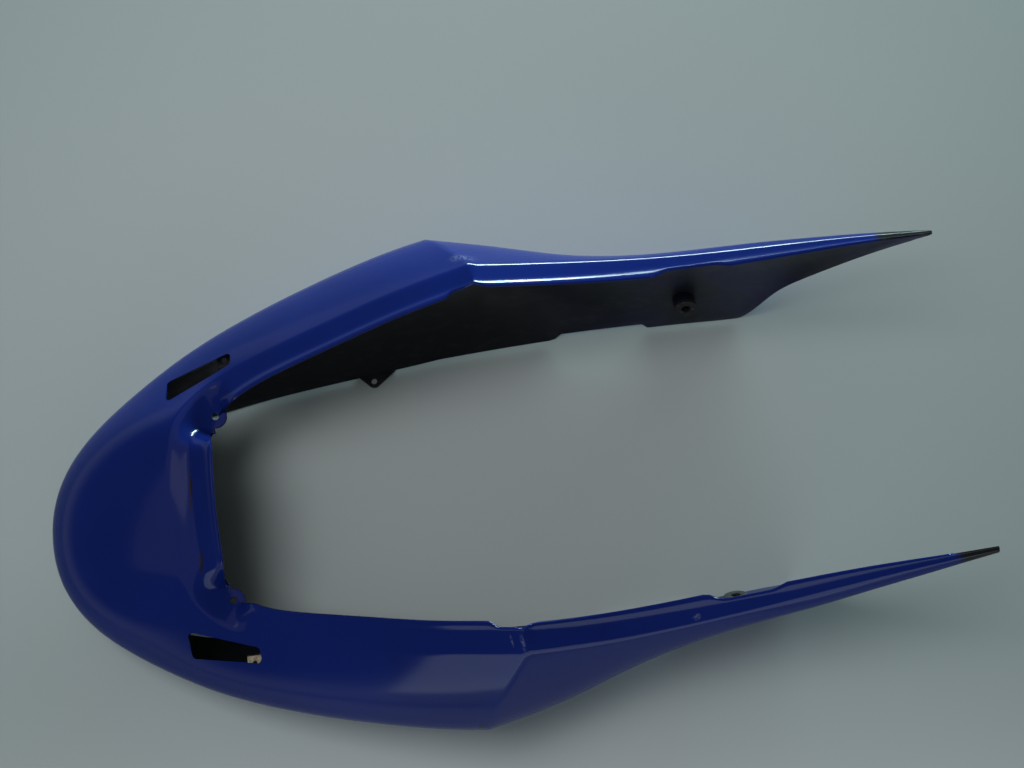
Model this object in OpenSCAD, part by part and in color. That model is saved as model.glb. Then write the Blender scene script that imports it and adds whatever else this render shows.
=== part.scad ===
// Tail fairing of a motorcycle: one thin moulding that wraps round the back of the seat.
// +X is forward, +Y is the rider's left and +Z is up. The origin lies on the floor below
// the middle of the moulding, which rests on the lower edges of its two side panels.
// The skin is a loft round the U: every section runs from the lip of the seat opening over
// the flange and the ridge, down the flank to the widest line, and tucks in to the lower edge.

/* [Overall] */
// Length from the tail to the tips of the two legs
cowl_length = 788; // [650:1:950]
// Width over the widest line
cowl_width = 430; // [350:5:520]
// Height of the ridge corners above the lower edges
cowl_height = 160; // [130:5:200]
// Thickness of the moulded wall
wall = 3; // [2:0.25:4]

/* [Seat opening] */
// Width of the flange that the seat rests on
flange_w = 24; // [18:1:30]
// Rise of the flange from the ridge line to its inner edge
flange_rise = 7; // [2:1:12]
// Width of the rolled lip along the opening
lip_w = 7; // [4:0.5:9]
// Height of the rolled lip above the flange
lip_h = 5; // [3:0.5:8]
// Depth of the groove along the rear seat ledge
groove_d = 3; // [1:0.5:5]

/* [Rear tabs] */
// Distance between the screw holes of the two rear tabs
tab_spacing = 160; // [150:1:170]
// Diameter of each tab's screw hole
tab_hole_d = 6; // [4:0.5:8]
// Radius of the rounded end of each tab
tab_r = 10; // [8:0.5:13]

/* [Side lugs] */
// Distance from the lower edge to the screw hole of each side lug
lug_reach = 6.5; // [5:0.5:10]
// Diameter of each lug's screw hole
lug_hole_d = 5.5; // [4:0.5:7]
// Radius of the rounded end of each lug
lug_r = 6; // [5:0.5:8]

/* [Grab rail slots] */
// Length of each slot along the deck
slot_l = 56; // [40:1:70]
// Width of each slot at its front end
slot_w = 13; // [10:1:18]
// Radius of the corners of each slot
slot_r = 4; // [2:0.5:5]

/* [Grommets] */
// Bore that the peg on the frame goes into
peg_d = 8; // [6:0.5:10]
// Outside diameter of the rubber grommet's shank
grommet_d = 16; // [14:0.5:18]
// Outside diameter of the rubber grommet's collar
collar_d = 21; // [20:0.5:24]
// Length of the moulded socket that holds the grommet
socket_l = 9; // [7:0.5:12]

/* [Clip nut] */
// Width of the spring clip and of its seat
clip_w = 12; // [8:0.5:14]
// Length of the clip from its fold to the ends of its leaves
clip_l = 13; // [10:0.5:15]
// Screw hole of the clip
clip_hole_d = 4; // [3:0.5:5]

/* [Hidden] */

$fn = 48;

// Sizes that the line tables were drawn for, and the middle of their length
DRAWN_LENGTH = 788;
DRAWN_WIDTH = 430;
DRAWN_HEIGHT = 160;
DRAWN_MID = -28;

// Control lines of the left half, from the middle of the tail to the ridge corner
TAIL_RIDGE = [[-297, 0, 116], [-296, 40, 115], [-291, 80, 112], [-264, 106, 102],
    [-234, 118, 108], [-190, 129, 122], [-146, 139, 133], [-100, 150, 144],
    [-58, 157, 154], [-20, 163, 160]];
TAIL_WIDE = [[-424, 0, 42], [-418, 42, 42], [-391, 84, 42], [-341, 121, 44],
    [-284, 154, 50], [-225, 176, 58], [-175, 191, 65], [-128, 203, 72],
    [-90, 211, 77], [-60, 215, 80]];
TAIL_LOW = [[-396, 0, 16], [-392, 34, 16], [-374, 66, 12], [-337, 90, 5],
    [-285, 103, 0], [-228, 112, 0], [-176, 117, 0], [-128, 121, 0],
    [-92, 124, 0], [-62, 127, 0]];
// The same lines from the ridge corner to the tip of the leg
LEG_RIDGE = [[-20, 163, 160], [30, 163, 139], [80, 161, 128], [130, 157, 125],
    [180, 152.5, 129], [225, 148, 138], [262, 144.5, 146], [300, 141, 152],
    [335, 138, 154], [366, 136, 154]];
LEG_WIDE = [[-60, 215, 80], [5, 202, 70], [60, 182, 74], [118, 168, 95],
    [175, 161, 112], [225, 156, 125], [264, 150.5, 135], [300, 146, 142],
    [336, 141, 148], [366, 137, 150]];
LEG_LOW = [[-62, 127, 0], [-5, 129, 0], [50, 130, 0], [110, 130, 0],
    [165, 129, 0], [226, 125, -14], [244, 130, 62], [284, 133, 92],
    [330, 134, 128], [366, 134, 146]];
// Shares of the flange width at the same stations
TAIL_FLANGE = [1.55, 1.55, 1.45, 1.2, 1, 1, 1, 1, 1, 1];
LEG_FLANGE = [1, 0.95, 0.9, 0.8, 0.7, 0.6, 0.5, 0.35, 0.25, 0.2];
STATIONS = len(LEG_RIDGE) - 1;

// Share of the full lip by distance forward, with its notch and its gap
LIP_SHARES = [[-230, 1], [-48, 1], [-42, 0.35], [-20, 0.35], [-8, 0.8], [60, 1], [133, 1.25],
    [146, 0.4], [186, 0.4], [198, 0.9], [300, 0.7], [366, 0.4]];
// Trim of the lower edge by distance forward, where it steps up between the panels' screws
EDGE_TRIMS = [[44, 0], [50, 5], [126, 5], [132, 0]];
// The rear tabs: the stations where the lip fades down into each, and their fall
TAB_STATION = 2.45;
TAB_FADE = 1.1;
TAB_X = -258;
TAB_Z = 96;

// Sections between two stations, and points down the flank and down the tuck
STEPS = 3;
FLANK_STEPS = 5;
TUCK_STEPS = 6;
// How far the flank and the tuck run straight up and down at the widest line
FLANK_FULL = 0.35;
TUCK_FULL = 0.5;

function scaled(p) = [(p.x - DRAWN_MID) * cowl_length / DRAWN_LENGTH,
    p.y * cowl_width / DRAWN_WIDTH, p.z * cowl_height / DRAWN_HEIGHT];
function drawn_x(x) = x * DRAWN_LENGTH / cowl_length + DRAWN_MID;
function mirrored(p) = [p.x, -p.y, p.z];
function reversed(list) = [for (i = [len(list) - 1:-1:0]) list[i]];
function rest(list) = [for (i = [1:len(list) - 1]) list[i]];
function unit(v) = v / norm(v);
function on_floor(p) = [p.x, p.y, max(0, p.z)];

// A smooth curve through a list of control values, which starts and ends on its end values
function padded(list) = concat([2 * list[0] - list[1]], list,
    [2 * list[len(list) - 1] - list[len(list) - 2]]);
function blend4(a, b, c, d, f) = (pow(1 - f, 3) * a + (3 * pow(f, 3) - 6 * pow(f, 2) + 4) * b
    + (-3 * pow(f, 3) + 3 * pow(f, 2) + 3 * f + 1) * c + pow(f, 3) * d) / 6;
function curve(list) = let (p = padded(list))
    concat([for (i = [0:len(list) - 2]) for (k = [0:STEPS - 1])
        blend4(p[i], p[i + 1], p[i + 2], p[i + 3], k / STEPS)], [list[len(list) - 1]]);
function bend(a, b, c, f) = pow(1 - f, 2) * a + 2 * f * (1 - f) * b + pow(f, 2) * c;

// A line round the whole U, from the tip of the left leg to the tip of the right one
function whole(left, back) = concat(left, rest(back), rest([for (v = reversed(left))
    is_list(v) ? mirrored(v) : v]));
function round_u(tail, leg) = let (t = [for (p = tail) scaled(p)], g = [for (p = leg) scaled(p)])
    [for (p = whole(reversed(curve(g)), curve(concat(reversed(t), [for (p = rest(t)) mirrored(p)]))))
        on_floor(p)];
function shares(tail, leg) = whole(reversed(curve(leg)), curve(concat(reversed(tail), rest(tail))));

RIDGE = round_u(TAIL_RIDGE, LEG_RIDGE);
WIDE = round_u(TAIL_WIDE, LEG_WIDE);
LOW = round_u(TAIL_LOW, LEG_LOW);
FLANGE = shares(TAIL_FLANGE, LEG_FLANGE);
COUNT = len(RIDGE);
MIDDLE = (COUNT - 1) / 2;

// Stations from the middle of the tail at section i, and the section at a station of the left leg
function station(i) = abs(i - MIDDLE) / STEPS;
function at_station(s) = round(MIDDLE - s * STEPS);

// Plan direction from the ridge line into the seat opening, at section i
function along(i) = RIDGE[min(i + 1, COUNT - 1)] - RIDGE[max(i - 1, 0)];
function inward(i) = let (d = along(i)) unit([-d.y, d.x, 0]);

// How far the inner edge has sunk towards a tab, and how deep the ledge groove is, at section i
function sunk(i) = let (f = max(0, 1 - abs(station(i) - TAB_STATION) / TAB_FADE))
    min(1, 1.6 * f * f * (3 - 2 * f));
function groove(i) = groove_d * max(0, min(1, 2.2 - station(i)));

// One section: lip, flange, ridge, flank and tuck
function section(i) = let (r = RIDGE[i], w = WIDE[i], l = LOW[i], n = inward(i), s = FLANGE[i],
        f = flange_w * s, here = lookup(drawn_x(r.x), LIP_SHARES) * (1 - 0.85 * sunk(i)),
        roll = min(lip_w, 0.45 * f) * here,
        edge_z = (1 - sunk(i)) * (r.z + flange_rise * s) + sunk(i) * TAB_Z * cowl_height / DRAWN_HEIGHT,
        inner = [r.x, r.y, edge_z] + n * (f - min(lip_w, 0.45 * f)),
        lip = inner + n * roll + [0, 0, lip_h * here * min(1, 1.5 * s)],
        above = w + [0, 0, FLANK_FULL * (r.z - w.z)],
        below = w - [0, 0, TUCK_FULL * (w.z - l.z)],
        trim = lookup(drawn_x(l.x), EDGE_TRIMS) / norm(l - below))
    concat([lip, inner, (inner + r) / 2 - [0, 0, groove(i)]],
        [for (k = [0:FLANK_STEPS]) bend(r, above, w, k / FLANK_STEPS)],
        [for (k = [1:TUCK_STEPS]) bend(w, below, l, k / TUCK_STEPS * (1 - trim / 2))]);

OUTER = [for (i = [0:COUNT - 1]) section(i)];
ACROSS = len(OUTER[0]);

// Direction out of the skin at point j of section i
function outward(i, j) = let (
        u = OUTER[min(i + 1, COUNT - 1)][j] - OUTER[max(i - 1, 0)][j],
        v = OUTER[i][min(j + 1, ACROSS - 1)] - OUTER[i][max(j - 1, 0)])
    unit(cross(v, u));
// The wall thins towards the tips of the legs
function thickness(i) = wall * min(1, 0.4 + 0.08 * min(i, COUNT - 1 - i));

INNER = [for (i = [0:COUNT - 1]) [for (j = [0:ACROSS - 1])
    OUTER[i][j] - thickness(i) * outward(i, j)]];

// The wall as one closed skin: each ring runs down the outside and back up the inside
function ring(i) = concat(OUTER[i], reversed(INNER[i]));
RING = 2 * ACROSS;
function quad(a, b, c, d) = [[a, b, c], [a, c, d]];
function side_faces() = [for (i = [0:COUNT - 2]) for (j = [0:RING - 1])
    let (k = (j + 1) % RING, a = i * RING, b = a + RING)
    each quad(a + j, b + j, b + k, a + k)];
function cap_faces(base, turn) = [for (j = [0:ACROSS - 2])
    let (q = [base + j, base + j + 1, base + RING - 2 - j, base + RING - 1 - j])
    each (turn ? quad(q[3], q[2], q[1], q[0]) : quad(q[0], q[1], q[2], q[3]))];

module skin() {
    polyhedron(points = [for (i = [0:COUNT - 1]) each ring(i)],
        faces = concat(side_faces(), cap_faces(0, false), cap_faces((COUNT - 1) * RING, true)),
        convexity = 10);
}

// Both sides of the moulding from one shape drawn for the left
module both_sides() {
    children();
    mirror([0, 1, 0]) children();
}

// Width of the skin at a distance forward and a height, between points j0 and j1 of the sections
function at_height(i, z, j0, j1) = [
    lookup(z, [for (j = [j0:j1]) [OUTER[i][j].z, OUTER[i][j].x]]),
    lookup(z, [for (j = [j0:j1]) [OUTER[i][j].z, OUTER[i][j].y]])];
function skin_y(x, z, j0, j1) = lookup(x, [for (i = [0:MIDDLE - STEPS]) at_height(i, z, j0, j1)]);
RIDGE_POINT = 3;
WIDE_POINT = RIDGE_POINT + FLANK_STEPS;
function flank_y(x, z) = skin_y(x, z, RIDGE_POINT, WIDE_POINT);
function tuck_y(x, z) = skin_y(x, z, WIDE_POINT, ACROSS - 1);

// A rear tab: a plate in the corner of the seat opening, rounded round its screw hole
TAB_AT = [scaled([TAB_X, 0, 0]).x, tab_spacing / 2, TAB_Z * cowl_height / DRAWN_HEIGHT];
TAB_DROP = 0.4;
TAB_ROOT = 6;
module tab() {
    back = OUTER[at_station(2)][1];
    side = OUTER[at_station(3)][1];
    translate([0, 0, TAB_AT.z - wall - TAB_DROP]) linear_extrude(wall) {
        translate([TAB_AT.x, TAB_AT.y]) circle(tab_r);
        polygon([[back.x - TAB_ROOT, back.y], [back.x + TAB_ROOT / 2, back.y],
            [TAB_AT.x + tab_r, TAB_AT.y], [side.x, side.y - TAB_ROOT / 3],
            [side.x, side.y + TAB_ROOT], [back.x - TAB_ROOT, side.y + TAB_ROOT / 3]]);
    }
}
module tab_hole() {
    translate([TAB_AT.x, TAB_AT.y, TAB_AT.z - 3 * wall]) cylinder(d = tab_hole_d, h = 6 * wall);
}

// A side lug: a small triangular plate on the lower edge, rounded round its screw hole
LUG_EDGE = LOW[at_station(7)];
LUG_AHEAD = 4;
LUG_SKEW = 0.7;
LUG_REAR = 2.5;
LUG_FRONT = 3.5;
LUG_AT = [LUG_EDGE.x + LUG_AHEAD, LUG_EDGE.y - lug_reach, 0];
module lug() {
    linear_extrude(wall) {
        translate([LUG_AT.x, LUG_AT.y]) circle(lug_r);
        polygon([[LUG_AT.x - LUG_REAR * lug_r, LUG_EDGE.y + 1],
            [LUG_AT.x - LUG_SKEW * lug_r, LUG_AT.y - LUG_SKEW * lug_r],
            [LUG_AT.x + LUG_SKEW * lug_r, LUG_AT.y - LUG_SKEW * lug_r],
            [LUG_AT.x + LUG_FRONT * lug_r, LUG_EDGE.y + 1]]);
    }
}
module lug_hole() {
    translate([LUG_AT.x, LUG_AT.y, -wall]) cylinder(d = lug_hole_d, h = 4 * wall);
}

// A slot in the deck for an arm of the grab rail, widening towards the tail
SLOT_FRONT = scaled([-243, 128, 0]);
SLOT_REAR = scaled([-296, 112, 0]);
SLOT_DIR = unit(SLOT_REAR - SLOT_FRONT);
SLOT_FLARE = 2.6;
SLOT_FLOOR = 50 * cowl_height / DRAWN_HEIGHT;
module slot_end(at, half) {
    for (y = [-half, half]) translate([at.x, at.y + y, SLOT_FLOOR]) cylinder(r = slot_r, h = cowl_height, $fn = 24);
}
module slot_cut() {
    half = slot_w / 2 - slot_r;
    hull() {
        slot_end(SLOT_FRONT, half);
        slot_end(SLOT_FRONT + slot_l * SLOT_DIR, half * SLOT_FLARE);
    }
}

// The socket for a grommet: a round tube that stands square to the inside of each leg
SOCKET_X = scaled([166, 0, 0]).x;
SOCKET_Z = 30 * cowl_height / DRAWN_HEIGHT;
SOCKET_Y = tuck_y(SOCKET_X, SOCKET_Z);
SOCKET_WALL = 2.5;
PEG_PLAY = 1;
SOCKET_LEAN = atan2(tuck_y(SOCKET_X, SOCKET_Z + 5) - tuck_y(SOCKET_X, SOCKET_Z - 5), 10);
SOCKET_ROOT = 0.5;
FIT_PLAY = 0.1;
SOCKET_FLOOR = 2;
GROMMET_SEAT = socket_l - SOCKET_FLOOR;
module socket_axis(from) {
    translate([SOCKET_X, SOCKET_Y, SOCKET_Z]) rotate([-90 - SOCKET_LEAN, 0, 0])
        translate([0, 0, from - wall - socket_l]) children();
}
module socket() {
    socket_axis(0) cylinder(d = grommet_d + 2 * SOCKET_WALL, h = socket_l + SOCKET_ROOT * wall);
}
module socket_bore() {
    socket_axis(-1) cylinder(d = grommet_d + 2 * FIT_PLAY, h = GROMMET_SEAT + 1);
    socket_axis(-1) cylinder(d = peg_d + 2 * PEG_PLAY, h = socket_l + 1);
}

// The seat of the clip nut: a tongue below the outer front corner of each slot, out to the flank
SEAT_T = 2.5;
SEAT_AT = [SLOT_FRONT.x - clip_w / 2 + 1, SLOT_FRONT.y + 5, 81 * cowl_height / DRAWN_HEIGHT];
module clip_seat() {
    half = clip_w / 2;
    free = SEAT_AT.y - clip_l / 2;
    rear = SEAT_AT.x - half;
    front = SEAT_AT.x + half;
    translate([0, 0, SEAT_AT.z - SEAT_T]) linear_extrude(SEAT_T) difference() {
        polygon([[rear, free], [front, free], [front, flank_y(front, SEAT_AT.z) - wall / 2],
            [rear, flank_y(rear, SEAT_AT.z) - wall / 2]]);
        translate([SEAT_AT.x, SEAT_AT.y]) circle(d = clip_hole_d + 1);
    }
}

module cowl() {
    color("royalblue") union() {
        difference() {
            union() {
                skin();
                both_sides() tab();
                both_sides() lug();
                both_sides() socket();
            }
            both_sides() slot_cut();
            both_sides() socket_bore();
            both_sides() tab_hole();
            both_sides() lug_hole();
        }
        both_sides() clip_seat();
    }
}

// A rubber grommet: a shank in the socket and a collar that stands on the socket's end
COLLAR_L = 3;
module grommet() {
    socket_axis(0) difference() {
        union() {
            cylinder(d = grommet_d, h = GROMMET_SEAT);
            translate([0, 0, -COLLAR_L]) cylinder(d = collar_d, h = COLLAR_L);
        }
        translate([0, 0, -COLLAR_L - 1]) cylinder(d = peg_d, h = GROMMET_SEAT + COLLAR_L + 2);
    }
}
module grommet_left() {
    color("dimgray") grommet();
}
module grommet_right() {
    color("dimgray") mirror([0, 1, 0]) grommet();
}

// The spring clip nut on the right seat: sheet folded round the tongue's free end, with a drawn neck
CLIP_SHEET = 0.8;
NECK_WALL = 1.2;
NECK_L = 3;
module clip_nut() {
    fold = SEAT_AT.y - clip_l / 2 - FIT_PLAY - CLIP_SHEET;
    color("silver") mirror([0, 1, 0]) difference() {
        union() {
            translate([SEAT_AT.x + clip_w / 2, fold, SEAT_AT.z - SEAT_T]) rotate([0, -90, 0])
                linear_extrude(clip_w) difference() {
                    translate([-FIT_PLAY - CLIP_SHEET, 0])
                        square([SEAT_T + 2 * FIT_PLAY + 2 * CLIP_SHEET, clip_l]);
                    translate([-FIT_PLAY, CLIP_SHEET]) square([SEAT_T + 2 * FIT_PLAY, clip_l]);
                }
            translate([SEAT_AT.x, SEAT_AT.y, SEAT_AT.z - SEAT_T - FIT_PLAY - CLIP_SHEET - NECK_L])
                cylinder(d = clip_hole_d + 2 * NECK_WALL, h = NECK_L);
        }
        translate([SEAT_AT.x, SEAT_AT.y, SEAT_AT.z - 5 * SEAT_T]) cylinder(d = clip_hole_d, h = 10 * SEAT_T);
    }
}

cowl();
grommet_left();
grommet_right();
clip_nut();
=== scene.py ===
"""Looks of a motorcycle's tail cowl, built around its packed construction.

The painted moulding is lofted again at a finer pitch from its control lines: every section runs
from the lip of the seat opening over the flange and the ridge, down the flank to the widest line,
and tucks in to the lower edge. The grommets and the clip nut are made with Geometry Nodes.
"""

from __future__ import annotations

import logging
import math
from dataclasses import dataclass, field
from enum import Enum
from typing import Sequence

import bmesh
import bpy
import numpy as np
from mathutils import Matrix, Vector
from mathutils.geometry import convex_hull_2d

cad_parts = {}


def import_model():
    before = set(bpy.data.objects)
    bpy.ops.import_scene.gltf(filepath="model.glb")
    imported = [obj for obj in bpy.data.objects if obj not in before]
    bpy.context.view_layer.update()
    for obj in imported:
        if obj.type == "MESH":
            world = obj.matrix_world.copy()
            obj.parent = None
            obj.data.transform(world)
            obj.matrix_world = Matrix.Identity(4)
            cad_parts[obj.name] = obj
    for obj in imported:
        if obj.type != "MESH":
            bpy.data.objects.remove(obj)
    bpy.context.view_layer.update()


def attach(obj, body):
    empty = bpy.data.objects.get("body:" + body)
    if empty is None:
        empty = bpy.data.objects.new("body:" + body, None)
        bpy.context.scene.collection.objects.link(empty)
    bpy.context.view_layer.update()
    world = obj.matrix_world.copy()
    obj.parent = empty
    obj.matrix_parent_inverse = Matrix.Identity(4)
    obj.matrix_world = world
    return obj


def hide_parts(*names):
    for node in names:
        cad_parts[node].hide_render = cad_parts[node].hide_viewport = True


LOG = logging.getLogger("tail_cowl")
MM = 0.001
BODY = "root"

Point = tuple[float, float, float]
Colour = tuple[float, float, float]
HORIZON: Colour = (0.4, 0.45, 0.45)
EVEN: Point = (1.0, 1.0, 1.0)
MERGE = 1e-6
DEGENERATE = 1e-7


class Side(Enum):
    """The two sides of the cowl, by the sign of their Y."""

    LEFT = 1
    RIGHT = -1


class Slot(Enum):
    """Material slots of the record."""

    SHELL = "painted_shell"
    RUBBER = "rubber"
    STEEL = "spring_steel"


class Skin(Enum):
    """Material indices of the moulding's faces."""

    PAINT = 0
    RAW = 1


def rgba(colour: Colour) -> tuple[float, float, float, float]:
    """A colour with full alpha."""
    return (*colour, 1.0)


@dataclass(frozen=True)
class Spot:
    """A mark on the surface: its middle and reach in millimetres, its turn in degrees."""

    centre: Point
    reach: Point
    turn: Point = (0.0, 0.0, 0.0)
    softness: float = 0.5


@dataclass(frozen=True)
class Grain:
    """A cloudy pattern: cells in a metre, octaves, the noise at which it starts and is full, and
    its scale along each axis."""

    cells: float
    octaves: float
    low: float
    high: float
    stretch: Point = EVEN


@dataclass(frozen=True)
class Relief:
    """A fine bump: cells in a metre, depth in metres, strength, and its scale along each axis."""

    cells: float
    depth: float
    strength: float
    stretch: Point = EVEN
    octaves: float = 2.0


class NodeMaker:
    """A node tree, with short calls that add nodes to it and feed them."""

    def __init__(self, tree: bpy.types.NodeTree) -> None:
        """Keep the tree that the nodes go into."""
        self.tree = tree

    def feed(self, socket: bpy.types.NodeSocket, value: object) -> None:
        """Link a socket to a socket, or set it to a plain value.

        Args:
            socket: The input to feed.
            value: Another node's output, or a number, colour or vector.
        """
        if isinstance(value, bpy.types.NodeSocket):
            self.tree.links.new(value, socket)
        else:
            socket.default_value = value

    def add(
        self, kind: str, settings: dict[str, object] | None = None, **sockets: object
    ) -> bpy.types.Node:
        """Add a node.

        Args:
            kind: Type of the node.
            settings: Properties of the node.
            sockets: Values or sockets for its inputs, with underscores for spaces.

        Returns:
            The node.
        """
        node = self.tree.nodes.new(kind)
        for name, value in (settings or {}).items():
            setattr(node, name, value)
        for name, value in sockets.items():
            self.feed(node.inputs[name.replace("_", " ")], value)
        return node

    def math(self, operation: str, *values: object) -> bpy.types.NodeSocket:
        """Combine numbers or sockets.

        Args:
            operation: Blender's name of the operation.
            values: The numbers or sockets, in the order that the operation takes them.

        Returns:
            The result's socket.
        """
        node = self.add("ShaderNodeMath", {"operation": operation})
        for socket, value in zip(node.inputs, values):
            self.feed(socket, value)
        return node.outputs[0]

    def ramp(
        self, value: object, low: float, high: float, start: float = 0.0, end: float = 1.0
    ) -> bpy.types.NodeSocket:
        """Ease a value from start to end as it goes from low to high.

        Args:
            value: The socket to read.
            low: Input at which the result is start.
            high: Input at which the result is end.
            start: Result at low.
            end: Result at high.

        Returns:
            The eased value's socket.
        """
        node = self.add("ShaderNodeMapRange", {"interpolation_type": "SMOOTHSTEP"}, Value=value,
                        From_Min=low, From_Max=high, To_Min=start, To_Max=end)
        return node.outputs["Result"]

    def mix(self, share: object, first: object, second: object) -> bpy.types.NodeSocket:
        """Mix two colours.

        Args:
            share: How much of the second colour, from 0 to 1.
            first: First colour or socket.
            second: Second colour or socket.

        Returns:
            The mixed colour's socket.
        """
        node = self.add("ShaderNodeMix", {"data_type": "RGBA", "clamp_factor": True})
        for index, value in ((0, share), (6, first), (7, second)):
            self.feed(node.inputs[index], value)
        return node.outputs[2]


class Graph(NodeMaker):
    """A material's node tree round one Principled shader, with what the finishes share."""

    def __init__(self, name: str) -> None:
        """Start an empty material.

        Args:
            name: The material's name.
        """
        self.material = bpy.data.materials.new(name)
        self.material.use_nodes = True
        super().__init__(self.material.node_tree)
        self.tree.nodes.clear()
        self.shader = self.add("ShaderNodeBsdfPrincipled")
        self.output = self.add("ShaderNodeOutputMaterial", Surface=self.shader.outputs["BSDF"])
        self.place = self.add("ShaderNodeTexCoord").outputs["Object"]

    def noise(self, cells: float, octaves: float, stretch: Point = EVEN) -> bpy.types.NodeSocket:
        """Noise on Object coordinates.

        Args:
            cells: Cells in a metre.
            octaves: Levels of detail.
            stretch: Scale along each axis before the noise.

        Returns:
            The noise value's socket.
        """
        mapping = self.add("ShaderNodeMapping", Vector=self.place, Scale=stretch)
        node = self.add("ShaderNodeTexNoise", Vector=mapping.outputs["Vector"],
                        Scale=cells, Detail=octaves)
        return node.outputs["Fac"]

    def grain(self, grain: Grain, start: float = 0.0, end: float = 1.0) -> bpy.types.NodeSocket:
        """A cloudy pattern whose value goes from start to end."""
        noise = self.noise(grain.cells, grain.octaves, grain.stretch)
        return self.ramp(noise, grain.low, grain.high, start, end)

    def along(self, axis: int) -> bpy.types.NodeSocket:
        """Object coordinate along one axis, 0 for X, 1 for Y or 2 for Z."""
        return self.add("ShaderNodeSeparateXYZ", Vector=self.place).outputs[axis]

    def length(self, vector: bpy.types.NodeSocket) -> bpy.types.NodeSocket:
        """A vector's length."""
        node = self.add("ShaderNodeVectorMath", {"operation": "LENGTH"}, Vector=vector)
        return node.outputs["Value"]

    def spot(self, spot: Spot) -> bpy.types.NodeSocket:
        """A soft ellipsoid mask round a mark, 1 at its middle and 0 outside.

        Args:
            spot: Where the mark is, how far it reaches and how it is turned.

        Returns:
            The mask's socket.
        """
        mapping = self.add("ShaderNodeMapping", {"vector_type": "TEXTURE"}, Vector=self.place,
                           Location=[v * MM for v in spot.centre],
                           Rotation=[math.radians(v) for v in spot.turn],
                           Scale=[v * MM for v in spot.reach])
        away = self.length(mapping.outputs["Vector"])
        return self.ramp(away, 1.0 - spot.softness, 1.0, 1.0, 0.0)

    def spots(self, marks: Sequence[Spot]) -> bpy.types.NodeSocket:
        """The highest of several marks' masks.

        Args:
            marks: The marks, one at least.

        Returns:
            The mask's socket.
        """
        total = self.spot(marks[0])
        for mark in marks[1:]:
            total = self.math("MAXIMUM", total, self.spot(mark))
        return total

    def bump(self, relief: Relief) -> None:
        """Raise the surface by a fine noise.

        Args:
            relief: The noise, its depth and its strength.
        """
        noise = self.noise(relief.cells, relief.octaves, relief.stretch)
        node = self.add("ShaderNodeBump", Strength=relief.strength, Distance=relief.depth,
                        Height=noise)
        self.set(Normal=node.outputs["Normal"])

    def set(self, **values: object) -> None:
        """Feed the shader's sockets, with underscores for the spaces in their names."""
        for name, value in values.items():
            self.feed(self.shader.inputs[name.replace("_", " ")], value)


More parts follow.
